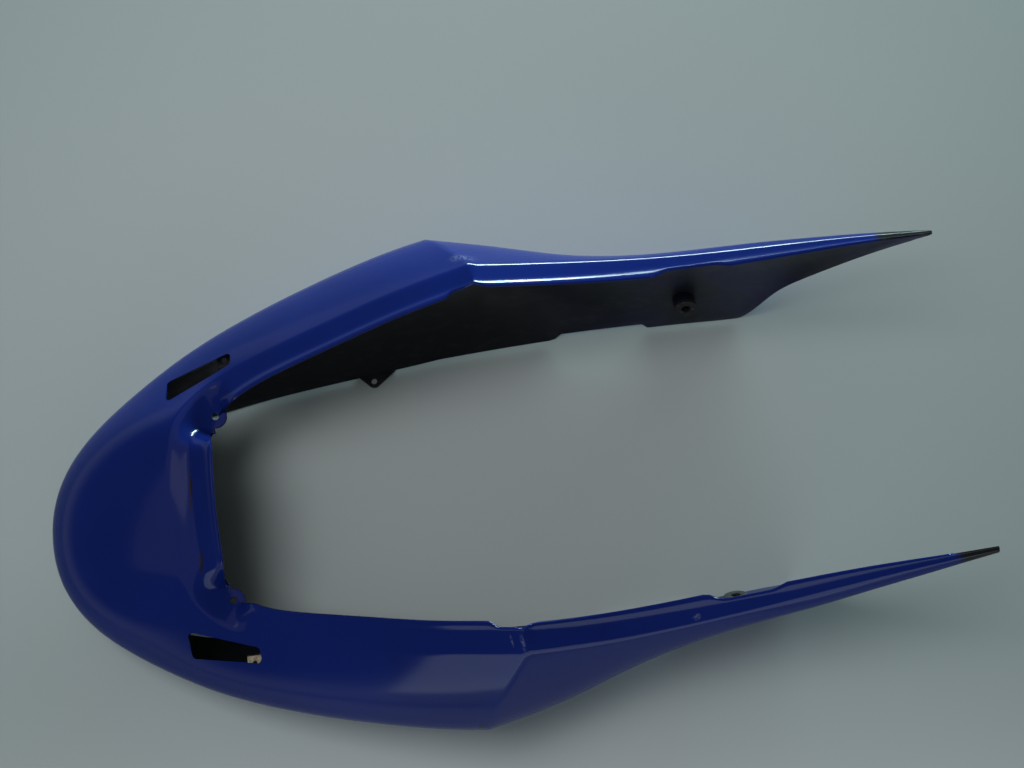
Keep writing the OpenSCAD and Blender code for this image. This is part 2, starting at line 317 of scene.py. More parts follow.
@dataclass(frozen=True)
class CowlPaint:
    """Blue paint under clear coat, with the wear that the cowl has, and painted highlights: pale
    marks along the crease at the right ridge corner and on a dimple of the right flange.
    """

    blue: Colour = (0.006, 0.018, 0.155)
    deep_blue: Colour = (0.005, 0.015, 0.13)
    scuff_and_highlight: Colour = (0.3, 0.33, 0.42)
    scuff_and_highlight_share: float = 0.35
    dirt: Colour = (0.02, 0.013, 0.01)
    bare: Colour = (0.012, 0.013, 0.015)
    roughness: float = 0.4
    wear_roughness: float = 0.35
    specular: float = 0.0
    coat: float = 0.55
    coat_roughness: float = 0.11
    cloud: Grain = Grain(5.0, 3.0, 0.35, 0.65)
    scuff_and_highlight_grain: Grain = Grain(420.0, 4.0, 0.38, 0.62)
    dirt_grain: Grain = Grain(300.0, 3.0, 0.25, 0.5)
    orange_peel: Relief = Relief(260.0, 0.00002, 0.25)
    # The first mark is a real scuff; the others are painted highlight: pale marks along the crease
    # at the right ridge corner and on the dimple of the right flange.
    scuffs_and_painted_highlights: tuple[Spot, ...] = (
        Spot((2.0, 173.0, 148.0), (17.0, 9.0, 9.0), (0.0, 0.0, -20.0), 1.0),
        Spot((7.0, -154.5, 163.0), (2.4, 10.0, 8.0), (0.0, 0.0, 6.0), 1.0),
        Spot((-1.5, -152.0, 162.5), (1.4, 7.0, 8.0), (0.0, 0.0, 6.0), 1.0),
        Spot((149.2, -151.5, 129.0), (4.6, 4.0, 6.0), (0.0, 0.0, 0.0), 0.8),
    )
    stains: tuple[Spot, ...] = (
        Spot((-252.0, 15.0, 118.6), (2.0, 27.0, 8.0), (0.0, 0.0, -5.0), 0.7),
        Spot((-249.0, -46.0, 116.0), (2.4, 17.0, 8.0), (0.0, 0.0, -8.0), 0.7),
        Spot((-37.0, -211.5, 92.0), (4.0, 4.0, 4.0), (0.0, 0.0, 0.0), 0.7),
    )
    tip_start: float = 0.35
    tip_end: float = 0.36
    tip_lean: float = 0.05
    tip_noise: tuple[float, float] = (90.0, 4.0)
    tip_rag: float = 0.02

    def build(self) -> bpy.types.Material:
        """Mix the paint's colours, wear and painted highlights.

        Returns:
            The paint's material.
        """
        graph = Graph("cowl_paint")
        colour = graph.mix(graph.grain(self.cloud), rgba(self.deep_blue), rgba(self.blue))
        # Pale marks, partly real scuffing and partly painted highlight on the crease and the
        # dimple.
        worn_and_highlit = graph.math("MULTIPLY", graph.spots(self.scuffs_and_painted_highlights), graph.grain(self.scuff_and_highlight_grain))
        scuff_and_highlight = graph.math("MULTIPLY", worn_and_highlit, self.scuff_and_highlight_share)
        colour = graph.mix(scuff_and_highlight, colour, rgba(self.scuff_and_highlight))
        dirty = graph.math("MULTIPLY", graph.spots(self.stains), graph.grain(self.dirt_grain))
        colour = graph.mix(dirty, colour, rgba(self.dirt))
        noise = graph.noise(*self.tip_noise)
        ragged = graph.math("MULTIPLY_ADD", noise, self.tip_rag, -self.tip_rag / 2)
        leaned = graph.math("MULTIPLY", graph.along(1), self.tip_lean)
        front = graph.math("ADD", graph.math("ADD", graph.along(0), leaned), ragged)
        bare = graph.ramp(front, self.tip_start, self.tip_end)
        colour = graph.mix(bare, colour, rgba(self.bare))
        matt = graph.math("MAXIMUM", graph.math("MAXIMUM", worn_and_highlit, dirty), bare)
        rough = graph.math("MULTIPLY_ADD", matt, self.wear_roughness, self.roughness)
        graph.set(Base_Color=colour, Roughness=rough, Specular_IOR_Level=self.specular)
        graph.set(Coat_Weight=self.coat, Coat_Roughness=self.coat_roughness)
        graph.bump(self.orange_peel)
        return graph.material


@dataclass(frozen=True)
class RawPlastic:
    """Bare black moulded plastic on the inner side, with overspray towards the legs' tips."""

    black: Colour = (0.008, 0.01, 0.014)
    overspray: Colour = (0.016, 0.018, 0.07)
    dust: Colour = (0.04, 0.046, 0.055)
    dust_share: float = 0.35
    sprayed: tuple[float, float] = (0.02, 0.22)
    clouds: Grain = Grain(14.0, 4.0, 0.3, 0.6)
    streaks: Grain = Grain(60.0, 5.0, 0.5, 0.75, (1.0, 3.0, 3.0))
    sheen: Grain = Grain(40.0, 3.0, 0.3, 0.7)
    roughness: tuple[float, float] = (0.36, 0.5)
    texture: Relief = Relief(700.0, 0.00005, 0.5)

    def build(self) -> bpy.types.Material:
        """Mix the plastic's black, overspray and dust.

        Returns:
            The plastic's material.
        """
        graph = Graph("raw_plastic")
        towards_tips = graph.ramp(graph.along(0), *self.sprayed)
        spray = graph.math("MULTIPLY", towards_tips, graph.grain(self.clouds))
        colour = graph.mix(spray, rgba(self.black), rgba(self.overspray))
        dusty = graph.math("MULTIPLY", graph.grain(self.streaks), self.dust_share)
        colour = graph.mix(dusty, colour, rgba(self.dust))
        graph.set(Base_Color=colour, Roughness=graph.grain(self.sheen, *self.roughness))
        graph.bump(self.texture)
        return graph.material


@dataclass(frozen=True)
class PlainFinish:
    """A finish of two colours in patches, with an uneven gloss and a fine texture."""

    name: str
    base: Colour
    patch: Colour
    patches: Grain
    sheen: Grain
    roughness: tuple[float, float]
    texture: Relief
    metallic: float = 0.0

    def build(self) -> bpy.types.Material:
        """Mix the two colours.

        Returns:
            The finish's material.
        """
        graph = Graph(self.name)
        colour = graph.mix(graph.grain(self.patches), rgba(self.base), rgba(self.patch))
        rough = graph.grain(self.sheen, *self.roughness)
        graph.set(Base_Color=colour, Roughness=rough, Metallic=self.metallic)
        graph.bump(self.texture)
        return graph.material


MOULDED_RUBBER = PlainFinish(
    name="moulded_rubber",
    base=(0.016, 0.016, 0.017),
    patch=(0.07, 0.07, 0.072),
    patches=Grain(220.0, 4.0, 0.45, 0.8),
    sheen=Grain(160.0, 3.0, 0.3, 0.7),
    roughness=(0.62, 0.82),
    texture=Relief(1500.0, 0.00004, 0.6),
)
PASSIVATED_STEEL = PlainFinish(
    name="passivated_steel",
    base=(0.78, 0.7, 0.5),
    patch=(0.42, 0.33, 0.2),
    patches=Grain(350.0, 4.0, 0.4, 0.75),
    sheen=Grain(500.0, 3.0, 0.3, 0.7),
    roughness=(0.2, 0.4),
    texture=Relief(900.0, 0.00002, 0.4, (1.0, 8.0, 1.0)),
    metallic=1.0,
)


@dataclass(frozen=True)
class PaleBoard:
    """The plain pale floor, with a painted pool of light that makes it lighter round a patch
    towards +Y and darker towards its edges, which fades into the horizon's colour away from the
    cowl.
    """

    grey: Colour = (0.58, 0.64, 0.635)
    edge: Colour = (0.4, 0.47, 0.47)
    near: Colour = (0.97, 1.0, 1.0)
    # Painted light: round this patch the floor is lighter, as a lamp's pool of light, and darker
    # away from it.
    painted_light_pool: Spot = Spot((20.0, 300.0, 0.0), (900.0, 700.0, 900.0), softness=1.0)
    near_patch: Spot = Spot((-250.0, -560.0, 0.0), (1500.0, 480.0, 900.0), softness=1.0)
    fade: tuple[float, float] = (1.0, 2.2)
    roughness: float = 0.6

    def build(self) -> bpy.types.Material:
        """Mix the floor's greys.

        Returns:
            The floor's material.
        """
        # Mix the floor's greys, with the painted pool of light.
        graph = Graph("pale_board")
        # Painted pool of light: the darker edge grey turns to the lighter grey round the patch.
        colour = graph.mix(graph.spot(self.painted_light_pool), rgba(self.edge), rgba(self.grey))
        colour = graph.mix(graph.spot(self.near_patch), colour, rgba(self.near))
        graph.set(Base_Color=colour, Roughness=self.roughness)
        self.fade_out(graph)
        return graph.material

    def fade_out(self, graph: Graph) -> None:
        """Let the far floor take the horizon's colour for all that looks at it.

        Args:
            graph: The floor's nodes.
        """
        path = graph.add("ShaderNodeLightPath").outputs
        seen = graph.math("MAXIMUM", path["Is Camera Ray"], path["Is Glossy Ray"])
        seen = graph.math("MAXIMUM", seen, path["Is Transmission Ray"])
        far = graph.ramp(graph.length(graph.place), *self.fade)
        haze = graph.add("ShaderNodeEmission", Color=rgba(HORIZON))
        blend = graph.add("ShaderNodeMixShader")
        shaders = (graph.math("MULTIPLY", seen, far), graph.shader.outputs["BSDF"], haze.outputs[0])
        for socket, value in zip(blend.inputs, shaders):
            graph.feed(socket, value)
        graph.feed(graph.output.inputs["Surface"], blend.outputs[0])


def new_object(name: str, mesh: bpy.types.Mesh) -> bpy.types.Object:
    """Put a mesh in the scene as an object.

    Args:
        name: Name of the object.
        mesh: Its mesh.

    Returns:
        The object.
    """
    piece = bpy.data.objects.new(name, mesh)
    bpy.context.scene.collection.objects.link(piece)
    return piece


def mesh_from(name: str, points: np.ndarray, faces: Sequence[Sequence[int]]) -> bpy.types.Mesh:
    """Build a mesh.

    Args:
        name: Name of the mesh.
        points: Its points in metres.
        faces: Its faces, as the indices of their points.

    Returns:
        The mesh.
    """
    mesh = bpy.data.meshes.new(name)
    mesh.from_pydata([tuple(p) for p in points], [], [list(f) for f in faces])
    mesh.update()
    return mesh


def spline(values: np.ndarray, steps: int) -> np.ndarray:
    """A uniform cubic B-spline that starts and ends on its end values.

    Args:
        values: Control values, one row each.
        steps: Points in each span.

    Returns:
        The curve's points, one row each.
    """
    padded = np.vstack([2 * values[0] - values[1], values, 2 * values[-1] - values[-2]])
    f = (np.arange(steps) / steps)[:, None]
    weights = ((1 - f) ** 3, 3 * f**3 - 6 * f**2 + 4, -3 * f**3 + 3 * f**2 + 3 * f + 1, f**3)
    spans = [sum(w * padded[i + k] for k, w in enumerate(weights)) / 6
             for i in range(len(values) - 1)]
    return np.vstack([*spans, values[-1:]])


def unit(vectors: np.ndarray) -> np.ndarray:
    """Rows of an array at length 1."""
    return vectors / np.maximum(np.linalg.norm(vectors, axis=-1, keepdims=True), 1e-12)


def bend(a: np.ndarray, b: np.ndarray, c: np.ndarray, f: float) -> np.ndarray:
    """A point of the arc from a to c that b pulls on."""
    return (1 - f) ** 2 * a + 2 * f * (1 - f) * b + f**2 * c


@dataclass
class ControlLines:
    """The left half's lines in millimetres: ridge, widest line and lower edge, from the middle of
    the tail to the ridge corner and from there to the tip of the leg."""

    middle: float = -28.0
    tail_ridge: tuple[Point, ...] = (
        (-297, 0, 116), (-296, 40, 115), (-291, 80, 112), (-264, 106, 102), (-234, 118, 108),
        (-190, 129, 122), (-146, 139, 133), (-100, 150, 144), (-58, 157, 154), (-20, 163, 160),
    )
    tail_wide: tuple[Point, ...] = (
        (-424, 0, 42), (-418, 42, 42), (-391, 84, 42), (-341, 121, 44), (-284, 154, 50),
        (-225, 176, 58), (-175, 191, 65), (-128, 203, 72), (-90, 211, 77), (-60, 215, 80),
    )
    tail_low: tuple[Point, ...] = (
        (-396, 0, 16), (-392, 34, 16), (-374, 66, 12), (-337, 90, 5), (-285, 103, 0),
        (-228, 112, 0), (-176, 117, 0), (-128, 121, 0), (-92, 124, 0), (-62, 127, 0),
    )
    leg_ridge: tuple[Point, ...] = (
        (-20, 163, 160), (30, 163, 139), (80, 161, 128), (130, 157, 125), (180, 152.5, 129),
        (225, 148, 138), (262, 144.5, 146), (300, 141, 152), (335, 138, 154), (366, 136, 154),
    )
    leg_wide: tuple[Point, ...] = (
        (-60, 215, 80), (5, 202, 70), (60, 182, 74), (118, 168, 95), (175, 161, 112),
        (225, 156, 125), (264, 150.5, 135), (300, 146, 142), (336, 141, 148), (366, 137, 150),
    )
    leg_low: tuple[Point, ...] = (
        (-62, 127, 0), (-5, 129, 0), (50, 130, 0), (110, 130, 0), (165, 129, 0),
        (226, 125, -14), (244, 130, 62), (284, 133, 92), (330, 134, 128), (366, 134, 146),
    )
    tail_flange: tuple[float, ...] = (1.55, 1.55, 1.45, 1.2, 1, 1, 1, 1, 1, 1)
    leg_flange: tuple[float, ...] = (1, 0.95, 0.9, 0.8, 0.7, 0.6, 0.5, 0.35, 0.25, 0.2)

    def round_u(self, tail: Sequence, leg: Sequence, steps: int) -> np.ndarray:
        """Run one line round the whole cowl, from the tip of the left leg to the tip of the right.

        Args:
            tail: Control values from the middle of the tail to the ridge corner.
            leg: Control values from the ridge corner to the tip.
            steps: Points in each span.

        Returns:
            The line's values, one row for each section.
        """
        t, g = (np.array(v, float).reshape(len(v), -1) for v in (tail, leg))
        flip = np.array([1.0, -1.0, 1.0]) if t.shape[1] == 3 else np.array([1.0])
        if t.shape[1] == 3:
            t[:, 0] -= self.middle
            g[:, 0] -= self.middle
        back = spline(np.vstack([t[::-1], t[1:] * flip]), steps)
        side = spline(g, steps)
        line = np.vstack([side[::-1], back[1:], side[1:] * flip])
        if t.shape[1] == 3:
            line[:, 2] = np.maximum(line[:, 2], 0.0)
        return line


@dataclass
class CowlSizes:
    """Sizes of the moulding in millimetres."""

    wall: float = 3.0
    flange_w: float = 24.0
    flange_rise: float = 7.0
    lip_w: float = 7.0
    lip_h: float = 5.0
    groove_d: float = 3.0
    tab_station: float = 2.45
    tab_fade: float = 1.1
    tab_at: Point = (-230.0, 80.0, 96.0)
    tab_r: float = 10.0
    tab_hole_d: float = 6.0
    lug_at: Point = (-98.0, 114.33, 0.0)
    lug_r: float = 6.0
    lug_hole_d: float = 5.5
    slot_front: tuple[float, float] = (-215.0, 128.0)
    slot_rear: tuple[float, float] = (-268.0, 112.0)
    slot_l: float = 56.0
    slot_w: float = 13.0
    slot_r: float = 4.0
    slot_flare: float = 2.6
    socket_at: Point = (194.0, 143.99, 30.0)
    socket_lean: float = 24.83
    socket_l: float = 9.0
    socket_d: float = 21.0
    grommet_d: float = 16.0
    clip_w: float = 12.0
    clip_l: float = 13.0
    seat_at: Point = (-220.0, 133.0, 81.0)
    seat_t: float = 2.5
    seat_hole_r: float = 2.5
    fit_play: float = 0.1
    socket_floor: float = 2.0

    def socket_place(self) -> Matrix:
        """Work out where the left socket stands.

        Returns:
            The place of its mouth, with Z into the wall.
        """
        out = math.radians(-90.0 - self.socket_lean)
        reach = Matrix.Translation((0.0, 0.0, -(self.wall + self.socket_l)))
        return Matrix.Translation(self.socket_at) @ Matrix.Rotation(out, 4, "X") @ reach


@dataclass
class CowlShape:
    """The moulding's outer surface as a grid of points, one row for each section round the U."""

    lines: ControlLines = field(default_factory=ControlLines)
    sizes: CowlSizes = field(default_factory=CowlSizes)
    steps: int = 10
    flange_steps: int = 5
    crown_steps: int = 8
    flank_steps: int = 18
    tuck_steps: int = 18
    flank_full: float = 0.35
    tuck_full: float = 0.5
    lip_shares: tuple[tuple[float, float], ...] = (
        (-230, 1), (-48, 1), (-42, 0.35), (-20, 0.35), (-8, 0.8), (60, 1), (133, 1.25),
        (146, 0.4), (186, 0.4), (198, 0.9), (300, 0.7), (366, 0.4),
    )
    edge_trims: tuple[tuple[float, float], ...] = ((44, 0), (50, 5), (126, 5), (132, 0))
    root_round: float = 3.0
    groove_round: float = 5.0
    ridge_round: float = 4.0
    ledge_round: float = 7.0
    soft_rows: tuple[int, ...] = (1, 4, 7, 8, 7, 4, 1)
    sink_gain: float = 1.6
    sink_lip: float = 0.85
    groove_end: float = 2.2
    ledge_end: float = 3.2
    corner_share: float = 0.45
    lip_fade: float = 1.5
    tip_wall: float = 0.4
    wall_growth: float = 0.24

    def __post_init__(self) -> None:
        """Work out the control lines, the sections and the grid."""
        lines = self.lines
        self.ridge = lines.round_u(lines.tail_ridge, lines.leg_ridge, self.steps)
        self.wide = lines.round_u(lines.tail_wide, lines.leg_wide, self.steps)
        self.low = lines.round_u(lines.tail_low, lines.leg_low, self.steps)
        self.flange = lines.round_u(lines.tail_flange, lines.leg_flange, self.steps)
        self.count = len(self.ridge)
        middle = (self.count - 1) / 2
        self.station = np.abs(np.arange(self.count) - middle)[:, None] / self.steps
        self.outer = self.grid()
        self.normals = self.outward(self.outer)
        self.inner = self.outer - self.thickness()[:, :, None] * self.normals

    def sunk(self) -> np.ndarray:
        """How far each section's inner edge has sunk towards a rear tab.

        Returns:
            A share from 0 to 1 for each section.
        """
        away = np.abs(self.station - self.sizes.tab_station)
        near = np.clip(1 - away / self.sizes.tab_fade, 0, 1)
        drawn = np.minimum(1, self.sink_gain * near**2 * (3 - 2 * near))
        return np.convolve(drawn[:, 0], self.soft_rows, "same")[:, None] / sum(self.soft_rows)

    def rounded(
        self, a: np.ndarray, corner: np.ndarray, b: np.ndarray, reach: np.ndarray, steps: int
    ) -> list[np.ndarray]:
        """Round a corner of all the sections at once.

        Args:
            a: Points before the corner.
            corner: The corner itself.
            b: Points after the corner.
            reach: How far from the corner the arc starts and ends.
            steps: Steps along the arc.

        Returns:
            The arc's points, one array for each step.
        """
        ends = []
        for side in (a - corner, b - corner):
            most = self.corner_share * np.linalg.norm(side, axis=1, keepdims=True)
            ends.append(corner + unit(side) * np.minimum(reach, most))
        return [bend(ends[0], corner, ends[1], k / steps) for k in range(steps + 1)]

    def grid(self) -> np.ndarray:
        """Work out the outer surface from the control lines.

        Returns:
            Its points, one row for each section and one column for each point across it.
        """
        sizes = self.sizes
        r, w, low, share, sunk = self.ridge, self.wide, self.low, self.flange, self.sunk()
        along = np.gradient(r, axis=0)
        n = unit(np.column_stack([-along[:, 1], along[:, 0], np.zeros(self.count)]))
        drawn_x = r[:, 0] + self.lines.middle
        here = np.interp(drawn_x, *zip(*self.lip_shares))[:, None] * (1 - self.sink_lip * sunk)
        f = sizes.flange_w * share
        root = np.minimum(sizes.lip_w, self.corner_share * f)
        up = np.array([0.0, 0.0, 1.0])
        edge_z = (1 - sunk) * (r[:, 2:] + sizes.flange_rise * share) + sunk * sizes.tab_at[2]
        inner = np.column_stack([r[:, :2], edge_z]) + n * (f - root)
        fade = np.minimum(1, self.lip_fade * share)
        lip = inner + n * root * here + up * sizes.lip_h * here * fade
        groove = sizes.groove_d * np.clip(self.groove_end - self.station, 0, 1)
        mid = (inner + r) / 2 - up * groove
        above = w + up * self.flank_full * (r[:, 2:] - w[:, 2:])
        below = w - up * self.tuck_full * (w[:, 2:] - low[:, 2:])
        trims = np.interp(low[:, 0] + self.lines.middle, *zip(*self.edge_trims))[:, None]
        end = 1 - trims / np.maximum(np.linalg.norm(low - below, axis=1, keepdims=True), 1e-6) / 2
        in_tail = np.clip(self.ledge_end - self.station, 0, 1)
        crown = self.ridge_round + (self.ledge_round - self.ridge_round) * in_tail
        columns = [lip, lip * 0.5 + inner * 0.5]
        columns += self.rounded(lip, inner, mid, self.root_round, self.flange_steps)
        columns += self.rounded(inner, mid, r, self.groove_round, self.flange_steps)
        columns += [(mid + r) / 2]
        edge = self.rounded(mid, r, above, crown, self.crown_steps)
        columns += edge
        flank, tuck = range(1, self.flank_steps + 1), range(1, self.tuck_steps + 1)
        columns += [bend(edge[-1], above, w, k / self.flank_steps) for k in flank]
        columns += [bend(w, below, low, k / self.tuck_steps * end) for k in tuck]
        return np.stack(columns, axis=1)

    def outward(self, grid: np.ndarray) -> np.ndarray:
        """Directions out of a grid's surface."""
        return unit(np.cross(np.gradient(grid, axis=1), np.gradient(grid, axis=0)))

    def thickness(self) -> np.ndarray:
        """The wall's thickness at each point, which thins towards the tips of the legs."""
        grown = self.wall_growth * (self.station.max() - self.station)
        return self.sizes.wall * np.minimum(1, self.tip_wall + grown) * np.ones(self.outer.shape[1])

    def flank_y(self, x: float, z: float) -> float:
        """Find the left flank's outer surface above the widest line, in millimetres.

        Args:
            x: Place along the cowl.
            z: Height.

        Returns:
            Y of the surface there.
        """
        last = self.outer.shape[1] - self.tuck_steps
        flank = self.outer[: self.count // 2 - 3 * self.steps, last - self.flank_steps - 1 : last]
        points = np.array([[np.interp(z, row[::-1, 2], row[::-1, k]) for k in (0, 1)]
                           for row in flank])
        order = np.argsort(points[:, 0])
        return float(np.interp(x, points[order, 0], points[order, 1]))


@dataclass
class Moulding:
    """The painted cowl with its tabs, lugs, sockets and clip seats."""

    shape: CowlShape = field(default_factory=CowlShape)
    rim_steps: int = 4
    plate_edge: float = 0.5
    sharp_angle: float = 40.0
    slot_heights: tuple[float, float] = (50.0, 150.0)
    hole_heights: tuple[float, float] = (80.0, 120.0)
    tab_drop: float = 0.4
    tab_root: float = 6.0
    tab_neck: float = 3.0
    tab_side: float = 2.0
    tab_arc: tuple[float, float, int] = (-100.0, 60.0, 18)
    lug_reach: tuple[float, float] = (2.5, 3.5)
    lug_depth: float = 7.5
    lug_arc: tuple[float, float, int] = (-135.0, -45.0, 12)
    socket_steps: int = 48
    socket_edge: float = 0.6

    def edge_arc(
        self, outer: np.ndarray, inner: np.ndarray, inside: np.ndarray
    ) -> list[np.ndarray]:
        """Points that round the wall's edge from the outer to the inner surface.

        Args:
            outer: The outer surface's last points.
            inner: The inner surface's last points.
            inside: Points of the outer surface next to the last ones.

        Returns:
            One array of points for each step between the two surfaces.
        """
        middle, half = (outer + inner) / 2, (outer - inner) / 2
        out = unit(outer - inside) * np.linalg.norm(half, axis=1, keepdims=True)
        angles = [math.pi * k / self.rim_steps for k in range(1, self.rim_steps)]
        return [middle + math.cos(a) * half + math.sin(a) * out for a in angles]

    def skin(self) -> bpy.types.Object:
        """Build the wall as one closed skin with rounded edges.

        Returns:
            The skin, with its outer faces tagged as paint and its inner ones as raw plastic.
        """
        shape = self.shape
        outer, inner = shape.outer.copy(), shape.inner.copy()
        pull = shape.thickness()[:, :1] / 2
        for last, inside in ((0, 1), (-1, -2)):
            back = unit(outer[:, inside] - outer[:, last]) * pull
            outer[:, last] += back
            inner[:, last] += back
        low_arc = self.edge_arc(outer[:, -1], inner[:, -1], outer[:, -2])
        lip_arc = self.edge_arc(inner[:, 0], outer[:, 0], inner[:, 1])
        parts = [outer, np.stack(low_arc, 1), inner[:, ::-1], np.stack(lip_arc, 1)]
        ring = np.concatenate(parts, axis=1)
        ring[:, :, 2] = np.maximum(ring[:, :, 2], 0.0)
        count, size = ring.shape[:2]
        faces, tags = [], []
        across = outer.shape[1]
        raw = range(across + self.rim_steps - 2, 2 * across + self.rim_steps - 2)
        for i in range(count - 1):
            for j in range(size):
                k = (j + 1) % size
                faces.append((i * size + j, i * size + k, (i + 1) * size + k, (i + 1) * size + j))
                tags.append(Skin.RAW.value if j in raw else Skin.PAINT.value)
        for base, turn in ((0, -1), ((count - 1) * size, 1)):
            faces.append([base + j for j in range(size)][::turn])
            tags.append(Skin.PAINT.value)
        mesh = mesh_from("cowl_skin", ring.reshape(-1, 3) * MM, faces)
        mesh.polygons.foreach_set("material_index", tags)
        return new_object("cowl_skin", mesh)

    def prism(
        self, name: str, outline: Sequence[Sequence[float]], low: float, high: float
    ) -> bpy.types.Object:
        """An upright prism over a convex outline, in millimetres.

        Args:
            name: Name of the object.
            outline: Points whose hull is the outline.
            low: Height of its foot.
            high: Height of its top.

        Returns:
            The prism.
        """
        order = convex_hull_2d([Vector(p) for p in outline])
        rim = np.array([outline[i] for i in order])
        count = len(rim)
        points = np.vstack([np.column_stack([rim, np.full(count, z)]) for z in (low, high)])
        faces = [list(range(count))[::-1], list(range(count, 2 * count))]
        faces += [(k, (k + 1) % count, count + (k + 1) % count, count + k) for k in range(count)]
        return new_object(name, mesh_from(name, points * MM, faces))

    def circle(
        self, x: float, y: float, radius: float, steps: int = 32
    ) -> list[tuple[float, float]]:
        """Points of a circle."""
        turns = [2 * math.pi * k / steps for k in range(steps)]
        return [(x + radius * math.cos(a), y + radius * math.sin(a)) for a in turns]

    def arc(
        self, x: float, y: float, radius: float, start: float, end: float, steps: int
    ) -> list[tuple[float, float]]:
        """Points of an arc between two angles in degrees."""
        turns = np.radians(np.linspace(start, end, steps))
        return [(x + radius * math.cos(a), y + radius * math.sin(a)) for a in turns]

    def cutters(self) -> list[bpy.types.Object]:
        """Make what cuts the grab rail slots and the tabs' holes through the skin.

        Returns:
            Upright prisms.
        """
        sizes, found = self.shape.sizes, []
        front, rear = np.array(sizes.slot_front), np.array(sizes.slot_rear)
        end = front + sizes.slot_l * unit(rear - front)
        half = sizes.slot_w / 2 - sizes.slot_r
        for side in Side:
            rim = []
            for at, spread in ((front, half), (end, half * sizes.slot_flare)):
                for step in (-spread, spread):
                    rim += self.circle(at[0], side.value * (at[1] + step), sizes.slot_r)
            found.append(self.prism(f"slot_{side.name}", rim, *self.slot_heights))
            hole = self.circle(sizes.tab_at[0], side.value * sizes.tab_at[1], sizes.tab_hole_d / 2)
            found.append(self.prism(f"hole_{side.name}", hole, *self.hole_heights))
        return found

    def plate(
        self,
        name: str,
        outline: Sequence[Sequence[float]],
        hole: Sequence[Sequence[float]],
        low: float,
        high: float,
        skin: Skin,
    ) -> bpy.types.Object:
        """A flat plate with rounded edges and one hole, in millimetres.

        Args:
            name: Name of the object.
            outline: The plate's rim, in order.
            hole: The hole's rim, in order.
            low: Height of its lower face.
            high: Height of its upper face.
            skin: Material of its faces.

        Returns:
            The plate.
        """
        curve = bpy.data.curves.new(name, "CURVE")
        curve.dimensions = "2D"
        curve.fill_mode = "BOTH"
        curve.extrude = ((high - low) / 2 - self.plate_edge) * MM
        curve.bevel_depth = self.plate_edge * MM
        curve.bevel_resolution = 2
        curve.offset = -self.plate_edge * MM
        for rim in (outline, hole):
            line = curve.splines.new("POLY")
            line.points.add(len(rim) - 1)
            for point, (x, y) in zip(line.points, rim):
                point.co = (x * MM, y * MM, 0.0, 1.0)
            line.use_cyclic_u = True
        holder = bpy.data.objects.new(name, curve)
        bpy.context.scene.collection.objects.link(holder)
        bpy.context.view_layer.update()
        graph = bpy.context.evaluated_depsgraph_get()
        mesh = bpy.data.meshes.new_from_object(holder.evaluated_get(graph))
        bpy.data.objects.remove(holder)
        mesh.transform(Matrix.Translation((0, 0, (high + low) / 2 * MM)))
        mesh.polygons.foreach_set("material_index", [skin.value] * len(mesh.polygons))
        return new_object(name, mesh)

    def tab(self, side: Side) -> bpy.types.Object:
        """Build the recessed screw tab in a rear corner of the seat opening.

        Args:
            side: The side that it is on.

        Returns:
            The tab.
        """
        shape, sizes, sign = self.shape, self.shape.sizes, side.value
        middle = (shape.count - 1) // 2
        back = shape.outer[middle - 2 * shape.steps, 2]
        wing = shape.outer[middle - 3 * shape.steps, 2]
        x, y, z = sizes.tab_at
        root, neck, edge = self.tab_root, self.tab_neck, self.tab_side
        arc = self.arc(x, y, sizes.tab_r, *self.tab_arc)
        rim = [(back[0] - root, back[1]), (back[0] + neck, back[1]), *arc,
               (wing[0], wing[1] - edge), (wing[0], wing[1] + root),
               (back[0] - root, wing[1] + edge)]
        rim = [(p[0], sign * p[1]) for p in rim]
        hole = self.circle(x, sign * y, sizes.tab_hole_d / 2)
        top = z - self.tab_drop
        return self.plate(f"tab_{side.name}", rim, hole, top - sizes.wall, top, Skin.PAINT)

    def lug(self, side: Side) -> bpy.types.Object:
        """Build the small screw ear on the lower edge of a side.

        Args:
            side: The side that it is on.

        Returns:
            The ear.
        """
        sizes, sign = self.shape.sizes, side.value
        x, y, z = sizes.lug_at
        arc = self.arc(x, y, sizes.lug_r, *self.lug_arc)
        rear, front = (share * sizes.lug_r for share in self.lug_reach)
        rim = [(x - rear, y + self.lug_depth), *arc, (x + front, y + self.lug_depth)]
        rim = [(p[0], sign * p[1]) for p in rim]
        hole = self.circle(x, sign * y, sizes.lug_hole_d / 2)
        return self.plate(f"lug_{side.name}", rim, hole, z, z + sizes.wall, Skin.RAW)

    def clip_seat(self, side: Side) -> bpy.types.Object:
        """Build the tongue below a slot's front corner that carries the clip nut.

        Args:
            side: The side that it is on.

        Returns:
            The tongue.
        """
        shape, sizes, sign = self.shape, self.shape.sizes, side.value
        x, y, z = sizes.seat_at
        rear, front, free = x - sizes.clip_w / 2, x + sizes.clip_w / 2, y - sizes.clip_l / 2
        rim = [(rear, free), (front, free), (front, shape.flank_y(front, z) - sizes.wall / 2),
               (rear, shape.flank_y(rear, z) - sizes.wall / 2)]
        rim = [(p[0], sign * p[1]) for p in rim]
        hole = self.circle(x, sign * y, sizes.seat_hole_r)
        return self.plate(f"seat_{side.name}", rim, hole, z - sizes.seat_t, z, Skin.RAW)

